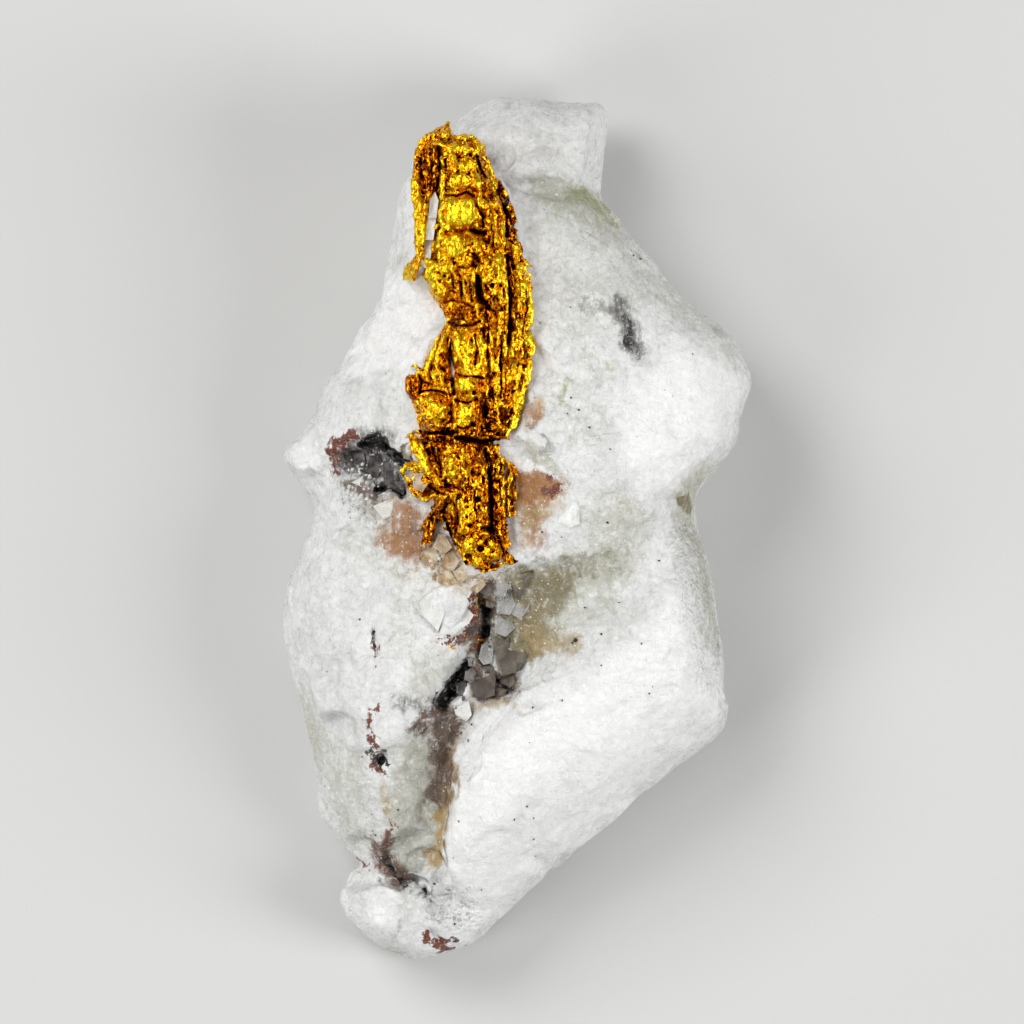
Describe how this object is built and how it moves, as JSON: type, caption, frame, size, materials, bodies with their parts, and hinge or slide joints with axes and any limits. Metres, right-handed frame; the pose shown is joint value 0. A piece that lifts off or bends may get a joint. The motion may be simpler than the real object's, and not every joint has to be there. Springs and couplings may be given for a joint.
{
  "type": "native gold on milky quartz specimen",
  "caption": "Broken lump of milky quartz carrying a raised bundle of ropy native gold on its front; lies on a flat break on its back.",
  "frame": {"origin": "middle of the specimen's box, on the flat break that it rests on", "axes": "+Y along the specimen's length towards its narrow top block, +X to the right when the gold is looked at with +Y up, +Z out of the front face that carries the gold"},
  "size_m": [0.0216, 0.04, 0.0127],
  "materials": {
    "milky_quartz": "milky white quartz, finely broken, translucent at thin edges, glassy on small faces",
    "native_gold": "rich yellow native gold, ropy and striated, dark orange to brown in its clefts"
  },
  "bodies": {
    "root": {"quartz_mass": "milky_quartz", "gold_growth": "native_gold"}
  },
  "joints": []
}
